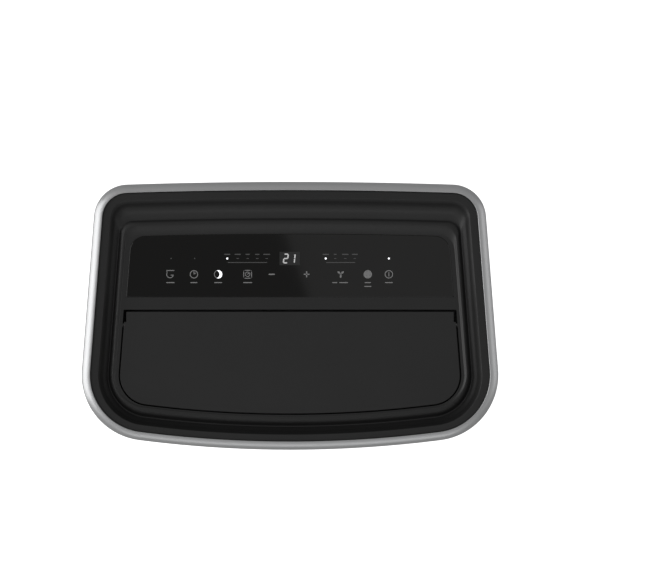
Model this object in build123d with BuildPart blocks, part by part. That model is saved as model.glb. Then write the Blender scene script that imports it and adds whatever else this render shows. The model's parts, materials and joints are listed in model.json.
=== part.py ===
from build123d import *
import os
from math import atan, cos, degrees, pi, radians, sin, sqrt, tan

# Portable air conditioner, standing on four swivel casters.
# Millimetres. +Z is up, the front faces -Y, and the origin is the floor point under the middle
# of the plan outline.

# ---- Driving dimensions -------------------------------------------------------------------
HEIGHT = 747
DEPTH = 322
HALF_WIDTH = 245  # at mid depth; the flared sides reach 501 overall near the front
FLARE = radians(4.5)  # how far each side opens towards the front
FRONT_ARC = 1420
BACK_ARC = 6000
FRONT_CORNER = 79
BACK_CORNER = 41

WALL = 3  # moulded casing walls
GAP = 0.3  # shadow gap between neighbouring mouldings

# Heights of the top moulding
RING_HEIGHT = 20
RING_WIDTH = 10.2
# the ring's crown: a shallow arc from the outer edge up to the inner one, as (drop, inset)
CROWN = [(6.2, 0), (4.3, 0.9), (2.2, 3.4), (0.7, 6.6), (0, 9.6)]
LEDGE_Z = HEIGHT - 3
DECK_Z = HEIGHT - 18.5
BEZEL_BOTTOM = HEIGHT - 26
# the trough and the crest round the deck slope down towards the front: (back, front) heights
VALLEY = (HEIGHT - 16.5, HEIGHT - 23.5)
CREST = (HEIGHT - 14, HEIGHT - 18)
CASING_TOP = HEIGHT - RING_HEIGHT
CASING_BOTTOM = 60
REAR_Y = 154  # flat rear wall
SEAM_Y = 30  # where the front and rear casings meet

# Air outlet flap and the glass control panel behind it
FLAP_SIDE = 45.8
FLAP_FRONT = 43.3
FLAP_BACK_Y = 5.0
FLAP_THICK = 3
OPENING_SIDE = 44.0
OPENING_FRONT = 41.6
OPENING_BACK_Y = 7.6
PIVOT_Y = -11
PIVOT_Z = DECK_Z - 5.5
PIN_R = 2.2
HUB_R = 4.6
GLASS_FRONT_Y = 22
GLASS_SIDE = 46
GLASS_BACK = 62.5
GLASS_THICK = 2.5
FLAP_HALF = HALF_WIDTH - PIVOT_Y * tan(FLARE) - FLAP_SIDE / cos(FLARE)
OPENING_HALF = HALF_WIDTH - PIVOT_Y * tan(FLARE) - OPENING_SIDE / cos(FLARE)

# Flap gearing: a toothed sector under the flap and the motor's pinion
MODULE = 0.8
SECTOR_TEETH = 56
PINION_TEETH = 16
SECTOR_PITCH = 360 / SECTOR_TEETH
GEAR_DISTANCE = MODULE * (SECTOR_TEETH + PINION_TEETH) / 2
MESH_ANGLE = -15.5 * SECTOR_PITCH  # degrees from +Y about the pivot, towards the pinion
GEAR_X = -197  # left face of both gears
GEAR_FACE = 4
PINION_Y = PIVOT_Y + GEAR_DISTANCE * cos(radians(MESH_ANGLE))
PINION_Z = PIVOT_Z + GEAR_DISTANCE * sin(radians(MESH_ANGLE))

# Air outlet duct: a throat with the guide vanes, and a tray around it that closes on the bezel
DUCT_HALF = 189
DUCT_FRONT_Y = -106
DUCT_BACK_Y = -20
DUCT_WALL = 2.5
DUCT_SHELF = 650
TRAY_FLOOR = 704.5
VANE_X = [-150 + 60 * number for number in range(6)]
VANE_Z = 683
VANE_DROP = 19  # from a vane's pivot down to its link pin

# Refrigeration and air handling
PAN_FLOOR = 50
PARTITION_Z = 425
PARTITION_TOP = PARTITION_Z + 5
EVAPORATOR = (96, 142, 446, 642)  # front, back, bottom, top
CONDENSER = (96, 142, 68, 280)
COIL_HALF = 150
EVAPORATOR_FAN_Z = 545
CONDENSER_FAN_Z = 180
FAN_R = 76
HOUSING_R = 92
EXHAUST_Z = 352
EXHAUST_R = 62
COMPRESSOR = (-140, -55)
COMPRESSOR_R = 55
ACCUMULATOR = (-205, 30)
SHAFT_R = 4
RUN_FIT = 0.05  # radial clearance of the running fits

# Rear panel openings: (half width, bottom, top)
UPPER_INTAKE = (168, 442, 653)
LOWER_INTAKE = (150, 82, 272)
DRAIN_PLUG = (187, 437)
DRAIN_CAP = (182, 74)
CORD_GLAND = (182, 120)
SCREWS = [(side * 190, z) for side in (-1, 1) for z in (100, 280, 415, 690)]

# Side handles
HANDLE_Y = (42, 128)
HANDLE_Z = (590, 655)
HANDLE_MOUTH_TOP = 636
HANDLE_DEPTH_X = 205
HANDLE_LIP_X = 226  # inner face of the lip that the fingers hook behind
HANDLE_CORNER = 8
CUP_WALL = 2.5

# Casters
WHEEL_R = 19
WHEEL_WIDTH = 16
TRAIL = 14
STEM_R = 5
AXLE_R = 3
CASTERS = {
    "caster_fl": (-170, -92),
    "caster_fr": (170, -92),
    "caster_rl": (-172, 98),
    "caster_rr": (172, 98),
}

os.makedirs("parts", exist_ok=True)


def finish(builder, name):
    """Names a finished piece and writes it as its own STEP file."""
    builder.part.label = name
    export_step(builder.part, f"parts/{name}.step")


def slab(x, y, z, mode=Mode.ADD):
    """Adds or cuts a block given by its (low, high) span along each axis."""
    spans = (x, y, z)
    with Locations(tuple((low + high) / 2 for low, high in spans)):
        Box(*(high - low for low, high in spans), mode=mode)


def rod(start, radius, length, along="z", mode=Mode.ADD):
    """Adds or cuts a cylinder that starts at a point and runs along +X, +Y or +Z."""
    turn = {"x": (0, 90, 0), "y": (-90, 0, 0), "z": (0, 0, 0)}[along]
    with Locations(Location(start, turn)):
        Cylinder(radius, length, align=(Align.CENTER, Align.CENTER, Align.MIN), mode=mode)


def plan(side=0.0, back=0.0, front=0.0, back_radius=None, front_radius=None, flat_back=None):
    """The plan outline set in from the widest one; flat_back gives it a straight rear edge."""
    half = HALF_WIDTH - side / cos(FLARE)
    rear = DEPTH if flat_back is None else flat_back
    rear_half = half - rear * tan(FLARE)
    fore_half = half + DEPTH * tan(FLARE)
    with BuildSketch() as outline:
        with BuildLine():
            Polyline(
                (rear_half, rear),
                (-rear_half, rear),
                (-fore_half, -DEPTH),
                (fore_half, -DEPTH),
                close=True,
            )
        make_face()
        with Locations((0, FRONT_ARC - DEPTH / 2)):
            Circle(FRONT_ARC - front, mode=Mode.INTERSECT)
        if flat_back is None:
            with Locations((0, DEPTH / 2 - BACK_ARC)):
                Circle(BACK_ARC - back, mode=Mode.INTERSECT)
        rear_corner = BACK_CORNER - min(side, back) if back_radius is None else back_radius
        front_corner = FRONT_CORNER - min(side, front) if front_radius is None else front_radius
        fillet(outline.vertices().group_by(Axis.Y)[-1], rear_corner)
        fillet(outline.vertices().group_by(Axis.Y)[0], front_corner)
    return outline.sketch


def casing_plan(z, inset):
    """The casing's outline at a height: its front and sides draw in towards the floor."""
    down = (CASING_TOP - z) / (CASING_TOP - CASING_BOTTOM)
    side = 3.5 + 9 * down + inset
    front = 3.5 + 12 * down + inset
    return plan(
        side,
        front=front,
        back_radius=BACK_CORNER - 4 - inset,
        front_radius=FRONT_CORNER - 4 - 8 * down - inset,
        flat_back=REAR_Y - inset,
    )


def envelope(inset, bottom, top):
    """The solid inside the casing's outer surface, set in by an amount, between two heights."""
    with BuildPart() as body:
        for z in (bottom, top):
            with BuildSketch(Plane.XY.offset(z)):
                add(casing_plan(z, inset))
        loft(ruled=True)
    return body.part


def sloping(heights, rise=0.0):
    """The plane that has the first height at the back edge and the second at the front edge."""
    back, front = heights
    lean = (front - back) / DEPTH
    middle = (0, 0, (back + front) / 2 + rise)
    return Plane(middle, x_dir=(1, 0, 0), z_dir=(0, lean, 1))


def stacked(levels):
    """A solid lofted through (plane, side, back, front, back radius, front radius) levels."""
    with BuildPart() as body:
        for level, side, back, front, back_radius, front_radius in levels:
            with BuildSketch(level):
                add(plan(side, back, front, back_radius, front_radius))
        loft(ruled=True)
    return body.part


def between(upper, lower, share):
    """Heights part of the way down from one (back, front) pair to another."""
    return tuple(a + (b - a) * share for a, b in zip(upper, lower))


# ---- Top ring: satin silver trim around the rim ---------------------------------------------
with BuildPart() as top_ring:
    with BuildSketch(Plane.XY.offset(CASING_TOP)):
        add(plan())
    extrude(amount=RING_HEIGHT - CROWN[0][0])
    levels = []
    for drop, inset in CROWN:
        corners = (BACK_CORNER - inset, FRONT_CORNER - inset)
        levels.append((Plane.XY.offset(HEIGHT - drop), inset, inset, inset, *corners))
    add(stacked(levels))
    with BuildSketch(Plane.XY.offset(CASING_TOP)):
        add(plan(RING_WIDTH, RING_WIDTH, RING_WIDTH))
    extrude(amount=RING_HEIGHT, mode=Mode.SUBTRACT)
finish(top_ring, "top_ring")

# ---- Top bezel: dark moulding with a trough around a raised centre --------------------------
BEZEL_EDGE = RING_WIDTH + GAP
with BuildPart() as top_bezel:
    with BuildSketch(Plane.XY.offset(BEZEL_BOTTOM)):
        add(plan(BEZEL_EDGE, BEZEL_EDGE, BEZEL_EDGE))
    extrude(amount=LEDGE_Z - BEZEL_BOTTOM)
    # the trough's outer wall, from the ledge down to the valley
    ledge = (LEDGE_Z, LEDGE_Z)
    add(
        stacked(
            [
                (sloping(ledge), 20, 20, 18.5, 21, 60),
                (sloping(between(ledge, VALLEY, 0.2)), 22, 23, 20, 20, 58),
                (sloping(between(ledge, VALLEY, 0.6)), 25.5, 28.4, 22.8, 18, 55),
                (sloping(between(ledge, VALLEY, 0.85)), 28.9, 34, 25.7, 17, 52.6),
                (sloping(VALLEY), 31, 42, 27.5, 16, 51),
            ]
        ),
        mode=Mode.SUBTRACT,
    )
    # the raised centre, from the valley up to the crest
    add(
        stacked(
            [
                (sloping(VALLEY, -1), 31.5, 43, 28.5, 16, 50),
                (sloping(between(CREST, VALLEY, 0.4)), 34, 45.5, 32, 16, 47),
                (sloping(CREST), 37, 49, 39, 18, 41),
            ]
        )
    )
    # the deck that the flap and the glass sit in
    add(
        stacked(
            [
                (sloping(CREST, 0.1), 37.5, 49.5, 39.6, 18, 40),
                (Plane.XY.offset(DECK_Z), 40.5, 61, 41, 19, 38),
            ]
        ),
        mode=Mode.SUBTRACT,
    )
    # hollow underside of the rim
    with BuildSketch(Plane.XY.offset(BEZEL_BOTTOM)):
        add(plan(BEZEL_EDGE + 2.5, BEZEL_EDGE + 2.5, BEZEL_EDGE + 2.5))
        add(plan(19.5, 19.5, 18), mode=Mode.SUBTRACT)
    extrude(amount=LEDGE_Z - BEZEL_BOTTOM - WALL, mode=Mode.SUBTRACT)
    # seat for the glass, with a window beneath it for the touch board
    with BuildSketch(Plane.XY.offset(DECK_Z - GLASS_THICK)):
        add(plan(GLASS_SIDE - GAP, GLASS_BACK - GAP, 0, 19, 2))
        with Locations((0, GLASS_FRONT_Y - GAP)):
            Rectangle(2 * HALF_WIDTH, DEPTH, align=(Align.CENTER, Align.MAX), mode=Mode.SUBTRACT)
    extrude(amount=GLASS_THICK, mode=Mode.SUBTRACT)
    slab((-170, 170), (GLASS_FRONT_Y + 10, 88), (BEZEL_BOTTOM, DECK_Z), Mode.SUBTRACT)
    # air outlet
    with BuildSketch(Plane.XY.offset(BEZEL_BOTTOM)):
        add(plan(OPENING_SIDE, 0, OPENING_FRONT, 1.2, 37, flat_back=OPENING_BACK_Y))
    extrude(amount=20, mode=Mode.SUBTRACT)
    # hinge lugs beside the outlet, and the small bosses that show in the side gaps
    for side in (-1, 1):
        edge = side * OPENING_HALF
        slab(sorted((edge - side * 0.6, edge + side * 7.4)), (-17, -5), (714, DECK_Z - 4))
        rod((min(edge - side * 1.4, edge + side * 3), PIVOT_Y, DECK_Z - 2.75), 2.75, 4.4, "x")
        rod((edge - 12, PIVOT_Y, PIVOT_Z), PIN_R + RUN_FIT, 24, "x", Mode.SUBTRACT)
finish(top_bezel, "top_bezel")

# ---- Glass control panel, its touch board and the display module ----------------------------
with BuildPart() as control_glass:
    with BuildSketch(Plane.XY.offset(DECK_Z - GLASS_THICK)):
        add(plan(GLASS_SIDE, GLASS_BACK, 0, 19, 2))
        with Locations((0, GLASS_FRONT_Y)):
            Rectangle(2 * HALF_WIDTH, DEPTH, align=(Align.CENTER, Align.MAX), mode=Mode.SUBTRACT)
    extrude(amount=GLASS_THICK)
    fillet(control_glass.faces().sort_by(Axis.Z)[-1].edges(), 0.4)
finish(control_glass, "control_glass")

with BuildPart() as touch_board:
    slab((-165, 165), (36, 86), (DECK_Z - 4.1, DECK_Z - GLASS_THICK))
    slab((-14.3, 14.3), (59, 79), (DECK_Z - 5, DECK_Z), Mode.SUBTRACT)
    # controller chip, connector and passives on the underside
    slab((60, 74), (45, 59), (DECK_Z - 5.6, DECK_Z - 4))
    slab((-120, -100), (42, 50), (DECK_Z - 10, DECK_Z - 4))
    with Locations((-40, 50, DECK_Z - 4.6)):
        with GridLocations(12, 10, 4, 2):
            Box(4, 2.5, 1.2)
finish(touch_board, "touch_board")

with BuildPart() as display_module:
    slab((-14, 14), (59.3, 78.7), (DECK_Z - 12, DECK_Z - GLASS_THICK))
finish(display_module, "display_module")

# ---- Air outlet duct ------------------------------------------------------------------------
with BuildPart() as outlet_duct:
    # tray: a floor that reaches out under the bezel and a wall up to it
    with BuildSketch(Plane.XY.offset(TRAY_FLOOR - DUCT_WALL)):
        add(plan(33, 0, 33.5, 3, 44, flat_back=16.5))
    extrude(amount=BEZEL_BOTTOM - TRAY_FLOOR + DUCT_WALL)
    with BuildSketch(Plane.XY.offset(TRAY_FLOOR)):
        add(plan(35.5, 0, 36, 1, 42, flat_back=14))
    extrude(amount=BEZEL_BOTTOM - TRAY_FLOOR, mode=Mode.SUBTRACT)
    # throat
    outer = (DUCT_FRONT_Y - DUCT_WALL, DUCT_BACK_Y + DUCT_WALL)
    inner = (DUCT_FRONT_Y, DUCT_BACK_Y)
    slab((-DUCT_HALF - DUCT_WALL, DUCT_HALF + DUCT_WALL), outer, (DUCT_SHELF, TRAY_FLOOR - 1))
    slab((-DUCT_HALF, DUCT_HALF), inner, (DUCT_SHELF + DUCT_WALL, TRAY_FLOOR + 1), Mode.SUBTRACT)
    slab((-HOUSING_R + 4, HOUSING_R - 4), inner, (DUCT_SHELF, DUCT_SHELF + 5), Mode.SUBTRACT)
    # slot for the toothed sector, and the vane pivot holes
    slab((GEAR_X - 1.5, GEAR_X + GEAR_FACE + 1.2), (-28, 6), (695, TRAY_FLOOR), Mode.SUBTRACT)
    for x in VANE_X:
        rod((x, outer[0], VANE_Z), 1.5 + RUN_FIT, outer[1] - outer[0], "y", Mode.SUBTRACT)
finish(outlet_duct, "outlet_duct")


def gear_rim(teeth, first, count):
    """Points along the rim of a gear, tooth by tooth, as (radius, angle in degrees)."""
    pitch_r = MODULE * teeth / 2
    base_r = pitch_r * cos(radians(20))
    backlash = 0.09
    involute_20 = tan(radians(20)) - radians(20)
    points = []
    for tooth in range(first, first + count):
        flank = []
        for step in range(5):
            r = pitch_r - MODULE * 1.15 + MODULE * 1.95 * step / 4
            tangent = sqrt(max(r * r / base_r**2 - 1, 0))
            turned = tangent - atan(tangent)
            half = pi / 2 / teeth - backlash / pitch_r + involute_20 - turned
            flank.append((r, degrees(half)))
        centre = 360 / teeth * tooth
        points += [(r, centre - half) for r, half in flank]
        points += [(r, centre + half) for r, half in reversed(flank)]
    return points


def to_plane(points, centre, turn=0.0):
    """Polar (radius, degrees) points about a centre as flat ones."""
    flat = []
    for r, angle in points:
        turned = radians(angle + turn)
        flat.append((centre[0] + r * cos(turned), centre[1] + r * sin(turned)))
    return flat


# ---- Air outlet flap ------------------------------------------------------------------------
with BuildPart() as flap:
    with BuildSketch(Plane.XY.offset(DECK_Z - FLAP_THICK)):
        add(plan(FLAP_SIDE, 0, FLAP_FRONT, 1.2, 35, flat_back=FLAP_BACK_Y))
    extrude(amount=FLAP_THICK)
    fillet(flap.faces().sort_by(Axis.Z)[-1].edges(), 0.6)
    for side in (-1, 1):
        # the rear corners are cut back beside the hinge
        slab(sorted((side * (FLAP_HALF - 2.9), side * 210)), (-7.5, 8), (720, 730), Mode.SUBTRACT)
        end = side * (FLAP_HALF - 0.2)
        rod((min(end, end - side * 9), PIVOT_Y, PIVOT_Z), HUB_R, 9, "x")
        rod((min(end, end - side * 9), PIVOT_Y, PIVOT_Z), PIN_R, 9, "x", Mode.SUBTRACT)
    # stiffening ribs on the underside
    for x in (-170, -85, 0, 85, 170):
        slab((x - 1, x + 1), (-100, 0), (DECK_Z - FLAP_THICK - 3, DECK_Z - FLAP_THICK))
    # toothed sector
    with BuildSketch(Plane.YZ.offset(GEAR_X)):
        with BuildLine():
            rim = to_plane(gear_rim(SECTOR_TEETH, -18, 15), (PIVOT_Y, PIVOT_Z))
            Polyline(*rim, (PIVOT_Y, PIVOT_Z), close=True)
        make_face()
    extrude(amount=GEAR_FACE)
    rod((GEAR_X - 1, PIVOT_Y, PIVOT_Z), PIN_R, GEAR_FACE + 2, "x", Mode.SUBTRACT)
finish(flap, "flap")

with BuildPart() as flap_pins:
    for side in (-1, 1):
        end = side * (FLAP_HALF - 9)
        rod((min(end, end + side * 15), PIVOT_Y, PIVOT_Z), PIN_R, 15, "x")
finish(flap_pins, "flap_pins")

with BuildPart() as flap_pinion:
    with BuildSketch(Plane.YZ.offset(GEAR_X)):
        with BuildLine():
            rim = gear_rim(PINION_TEETH, 0, PINION_TEETH)
            Polyline(*to_plane(rim, (PINION_Y, PINION_Z), MESH_ANGLE + 180), close=True)
        make_face()
    extrude(amount=GEAR_FACE)
    rod((GEAR_X - 17, PINION_Y, PINION_Z), 2.5, 17, "x")
finish(flap_pinion, "flap_pinion")

with BuildPart() as flap_motor:
    can_z = PINION_Z - 8
    face_x = GEAR_X - 2
    rod((face_x - 19, PINION_Y, can_z), 14, 19, "x")
    fillet(flap_motor.faces().sort_by(Axis.X)[0].edges(), 2)
    rod((face_x, PINION_Y, PINION_Z), 4.5, 1.2, "x")
    slab((face_x - 1, face_x), (PINION_Y - 22, PINION_Y + 22), (can_z - 4, can_z + 4))
    for side in (-1, 1):
        reach = -DUCT_HALF - DUCT_WALL - face_x
        rod((face_x, PINION_Y + side * 18, can_z), 3, reach, "x")
    rod((GEAR_X - 17, PINION_Y, PINION_Z), 2.5 + RUN_FIT, 20, "x", Mode.SUBTRACT)
finish(flap_motor, "flap_motor")

# ---- Air guide vanes and the bar that links them --------------------------------------------
for number, x in enumerate(VANE_X, start=1):
    with BuildPart() as vane:
        slab((x - 0.8, x + 0.8), (DUCT_FRONT_Y + 2, DUCT_BACK_Y - 2), (660, 701))
        slab((x - 1, x + 1), (-36, DUCT_BACK_Y), (659, 672), Mode.SUBTRACT)
        rod((x, DUCT_FRONT_Y - 2, VANE_Z), 1.5, DUCT_BACK_Y - DUCT_FRONT_Y + 4, "y")
        rod((x, -40, VANE_Z - VANE_DROP), 1.5, 14, "y")
    finish(vane, f"vane_{number}")

with BuildPart() as vane_link:
    slab((VANE_X[0] - 10, VANE_X[-1] + 10), (-32, -29), (657, 671))
    for x in VANE_X:
        slab((x - 2.2, x + 2.2), (-33, -28), (661.8, 668.8), Mode.SUBTRACT)
finish(vane_link, "vane_link")


# ---- Blowers --------------------------------------------------------------------------------
def blower_housing(fan_z, front, back, top, half):
    """A sheet volute whose outlet rises between -half and +half up to the given height."""
    with BuildPart() as housing:
        for inset, mode in ((0, Mode.ADD), (2, Mode.SUBTRACT)):
            with BuildSketch(Plane.XZ.offset(inset - back)):
                with Locations((0, fan_z)):
                    Circle(HOUSING_R - inset)
                with Locations((0, (fan_z + top) / 2)):
                    Rectangle(2 * (half - inset), top - fan_z)
            extrude(amount=back - front - 2 * inset, mode=mode)
        rod((0, back - 5, fan_z), 58, 10, "y", Mode.SUBTRACT)
        rod((0, front - 5, fan_z), SHAFT_R + 2, 10, "y", Mode.SUBTRACT)
    return housing.part


def blower_wheel(fan_z, front, length):
    """A forward-bladed wheel with its shaft reaching out towards the front."""
    with BuildPart() as wheel:
        rod((0, front, fan_z), FAN_R, 2, "y")
        rod((0, front + length - 3, fan_z), FAN_R, 3, "y")
        rod((0, front + length - 4, fan_z), FAN_R - 12, 5, "y", Mode.SUBTRACT)
        with Locations(Location((0, front + length / 2, fan_z), (-90, 0, 0))):
            with PolarLocations(FAN_R - 7, 32):
                Box(11, 1.2, length - 2, rotation=(0, 0, 25))
        rod((0, front, fan_z), 12, 16, "y")
        rod((0, front - 26, fan_z), SHAFT_R, 30, "y")
    return wheel.part


def fan_motor(fan_z, back, radius, length):
    """A motor can with a mounting spider against the housing it drives through."""
    with BuildPart() as motor:
        rod((0, back - length, fan_z), radius, length, "y")
        fillet(motor.faces().sort_by(Axis.Y)[0].edges(), 5)
        rod((0, back - length - 5, fan_z), 14, 6, "y")
        with Locations(Location((0, back - 1.5, fan_z), (-90, 0, 0))):
            with PolarLocations(radius + 4, 4, start_angle=45):
                Box(24, 14, 3)
        rod((0, back - 25, fan_z), SHAFT_R + RUN_FIT, 26, "y", Mode.SUBTRACT)
    return motor.part


EVAPORATOR_FAN = (DUCT_FRONT_Y, DUCT_BACK_Y)
with BuildPart() as evaporator_scroll:
    add(blower_housing(EVAPORATOR_FAN_Z, *EVAPORATOR_FAN, DUCT_SHELF, HOUSING_R))
    slab(
        (2 - HOUSING_R, HOUSING_R - 2),
        (EVAPORATOR_FAN[0] + 2, EVAPORATOR_FAN[1] - 2),
        (DUCT_SHELF - 3, DUCT_SHELF),
        Mode.SUBTRACT,
    )
    for side in (-1, 1):
        slab((side * 55 - 8, side * 55 + 8), EVAPORATOR_FAN, (PARTITION_TOP, 466))
    rod((0, EVAPORATOR_FAN[0] + 2, EVAPORATOR_FAN_Z), HOUSING_R - 2, 82, "y", Mode.SUBTRACT)
finish(evaporator_scroll, "evaporator_scroll")

with BuildPart() as evaporator_fan_wheel:
    add(blower_wheel(EVAPORATOR_FAN_Z, EVAPORATOR_FAN[0] + 8, 70))
finish(evaporator_fan_wheel, "evaporator_fan_wheel")

with BuildPart() as evaporator_fan_motor:
    add(fan_motor(EVAPORATOR_FAN_Z, EVAPORATOR_FAN[0], 42, 32))
finish(evaporator_fan_motor, "evaporator_fan_motor")

CONDENSER_FAN = (0, 85)
OUTLET_HALF = 68
with BuildPart() as condenser_scroll:
    add(blower_housing(CONDENSER_FAN_Z, *CONDENSER_FAN, PARTITION_Z - 2, OUTLET_HALF))
    slab((-OUTLET_HALF, OUTLET_HALF), CONDENSER_FAN, (PARTITION_Z - 4, PARTITION_Z - 2))
    rod((0, CONDENSER_FAN[1] - 5, EXHAUST_Z), EXHAUST_R, 10, "y", Mode.SUBTRACT)
    for side in (-1, 1):
        slab((side * 50 - 8, side * 50 + 8), CONDENSER_FAN, (PAN_FLOOR, 106))
    rod((0, CONDENSER_FAN[0] + 2, CONDENSER_FAN_Z), HOUSING_R - 2, 81, "y", Mode.SUBTRACT)
finish(condenser_scroll, "condenser_scroll")

with BuildPart() as condenser_fan_wheel:
    add(blower_wheel(CONDENSER_FAN_Z, CONDENSER_FAN[0] + 8, 70))
finish(condenser_fan_wheel, "condenser_fan_wheel")

with BuildPart() as condenser_fan_motor:
    add(fan_motor(CONDENSER_FAN_Z, CONDENSER_FAN[0], 46, 36))
finish(condenser_fan_motor, "condenser_fan_motor")

# ---- Slinger: a small motor that throws pan water onto the condenser ------------------------
SLINGER = (125, 92)
with BuildPart() as slinger_wheel:
    rod((SLINGER[0], 88, SLINGER[1]), 24, 3, "y")
    with Locations(Location((SLINGER[0], 90.5, SLINGER[1]), (-90, 0, 0))):
        with PolarLocations(20, 8):
            Box(12, 2, 5)
    rod((SLINGER[0], 66, SLINGER[1]), 3, 24, "y")
finish(slinger_wheel, "slinger_wheel")

with BuildPart() as slinger_motor:
    rod((SLINGER[0], 50, SLINGER[1]), 20, 35, "y")
    fillet(slinger_motor.faces().sort_by(Axis.Y)[0].edges(), 3)
    slab((SLINGER[0] - 14, SLINGER[0] + 14), (54, 80), (PAN_FLOOR, SLINGER[1] - 16))
    rod((SLINGER[0], 65, SLINGER[1]), 3 + RUN_FIT, 25, "y", Mode.SUBTRACT)
finish(slinger_motor, "slinger_motor")


# ---- Heat exchangers ------------------------------------------------------------------------
def heat_exchanger(span):
    """A fin pack between two end plates, with the tube bends showing at both ends."""
    front, back, bottom, top = span
    with BuildPart() as coil:
        slab((-COIL_HALF, COIL_HALF), (front, back), (bottom, top))
        for side in (-1, 1):
            plate = sorted((side * COIL_HALF, side * (COIL_HALF + 2)))
            slab(plate, (front - 2, back + 1), (bottom - 3, top + 3))
            for y in (front + 12, back - 12):
                for z in range(bottom + 22, top - 14, 40):
                    face = Plane((side * (COIL_HALF + 1.5), y, z), x_dir=(0, 0, 1), z_dir=(0, side, 0))
                    with Locations(face):
                        Torus(9, 3, major_angle=180)
    return coil.part


with BuildPart() as evaporator_coil:
    add(heat_exchanger(EVAPORATOR))
finish(evaporator_coil, "evaporator_coil")

with BuildPart() as condenser_coil:
    add(heat_exchanger(CONDENSER))
finish(condenser_coil, "condenser_coil")

# ---- Compressor with its accumulator, mounts and pipes --------------------------------------
LUG_RADIUS = 62
with BuildPart() as compressor:
    rod((*COMPRESSOR, 82), COMPRESSOR_R, 200)
    fillet(compressor.faces().sort_by(Axis.Z)[-1].edges(), 24)
    fillet(compressor.faces().sort_by(Axis.Z)[0].edges(), 10)
    rod((*COMPRESSOR, 275), 9, 17)
    with Locations((COMPRESSOR[0] + 22, COMPRESSOR[1], 278)):
        Cylinder(10, 14)
    with Locations((*COMPRESSOR, 84)):
        with PolarLocations(LUG_RADIUS - 14, 3, start_angle=30):
            Box(44, 18, 3)
finish(compressor, "compressor")

with BuildPart() as compressor_mounts:
    with Locations((*COMPRESSOR, PAN_FLOOR)):
        with PolarLocations(LUG_RADIUS, 3, start_angle=30):
            Cylinder(8, 82.5 - PAN_FLOOR, align=(Align.CENTER, Align.CENTER, Align.MIN))
    chamfer(compressor_mounts.edges().filter_by(GeomType.CIRCLE), 1)
finish(compressor_mounts, "compressor_mounts")

with BuildPart() as accumulator:
    rod((*ACCUMULATOR, 130), 18, 120)
    fillet(accumulator.faces().sort_by(Axis.Z)[-1].edges(), 9)
    fillet(accumulator.faces().sort_by(Axis.Z)[0].edges(), 9)
    gap_x = COMPRESSOR[0] - ACCUMULATOR[0]
    gap_y = COMPRESSOR[1] - ACCUMULATOR[1]
    reach = 1 - (COMPRESSOR_R + 0.6) / sqrt(gap_x**2 + gap_y**2)
    landing = (ACCUMULATOR[0] + gap_x * reach, ACCUMULATOR[1] + gap_y * reach, 112)
    with BuildLine() as route:
        Polyline((*ACCUMULATOR, 140), (*ACCUMULATOR, 112), landing)
    with BuildSketch(Plane(origin=(*ACCUMULATOR, 140), z_dir=(0, 0, -1))):
        Circle(4)
    sweep(transition=Transition.ROUND)
finish(accumulator, "accumulator")


def pipe(points, radius):
    """A round pipe along straight runs with rounded elbows."""
    with BuildPart() as tube:
        with BuildLine():
            Polyline(*points)
        start = Vector(*points[0])
        with BuildSketch(Plane(origin=start, z_dir=Vector(*points[1]) - start)):
            Circle(radius)
        sweep(transition=Transition.ROUND)
    return tube.part


LEFT_RUN = -178
RIGHT_RUN = 176
with BuildPart() as discharge_pipe:
    high = 310
    add(
        pipe(
            [
                (*COMPRESSOR, 292),
                (*COMPRESSOR, high),
                (LEFT_RUN, COMPRESSOR[1], high),
                (LEFT_RUN, 120, high),
                (LEFT_RUN, 120, 262),
                (-COIL_HALF - 2, 120, 262),
            ],
            4,
        )
    )
finish(discharge_pipe, "discharge_pipe")

with BuildPart() as suction_pipe:
    add(
        pipe(
            [
                (-COIL_HALF - 2, 120, 456),
                (LEFT_RUN, 120, 456),
                (LEFT_RUN, 75, 456),
                (LEFT_RUN, 75, 360),
                (*ACCUMULATOR, 360),
                (*ACCUMULATOR, 250),
            ],
            5,
        )
    )
finish(suction_pipe, "suction_pipe")

with BuildPart() as capillary_tube:
    add(
        pipe(
            [
                (COIL_HALF + 2, 120, 78),
                (RIGHT_RUN, 120, 78),
                (RIGHT_RUN, 120, 456),
                (COIL_HALF + 2, 120, 456),
            ],
            1.6,
        )
    )
finish(capillary_tube, "capillary_tube")

# ---- Electrical box -------------------------------------------------------------------------
BOX_X = (112, 188)
BOX_Y = (-96, -12)
BOX_Z = (PARTITION_TOP, 575)
with BuildPart() as electrical_box:
    slab(BOX_X, BOX_Y, BOX_Z)
    slab(
        (BOX_X[0] + 2, BOX_X[1] - 2),
        (BOX_Y[0] + 2, BOX_Y[1] - 2),
        (BOX_Z[0] + 2, BOX_Z[1] - 2),
        Mode.SUBTRACT,
    )
    rod((BOX_X[0] - 3, -30, BOX_Z[1] - 20), 8, 10, "x", Mode.SUBTRACT)
finish(electrical_box, "electrical_box")

with BuildPart() as main_board:
    board_x = BOX_X[1] - 8
    slab((board_x - 1.6, board_x), (BOX_Y[0] + 5, BOX_Y[1] - 5), (440, 565))
    slab((board_x - 20, board_x - 1.6), (-84, -60), (450, 476))
    slab((board_x - 12, board_x - 1.6), (-50, -30), (455, 470))
    for z in (500, 520, 540):
        slab((board_x - 16, board_x - 1.6), (-80, -66), (z - 6, z + 6))
    with Locations(Location((board_x - 9, -40, 520), (0, 90, 0))):
        with GridLocations(30, 20, 2, 2):
            Cylinder(6, 16)
finish(main_board, "main_board")

with BuildPart() as run_capacitor:
    rod((134, -76, BOX_Z[0] + 2), 14, 74)
    for side in (-1, 1):
        slab((133, 135), (-76 + side * 5 - 2, -76 + side * 5 + 2), (505, 515))
finish(run_capacitor, "run_capacitor")

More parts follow.
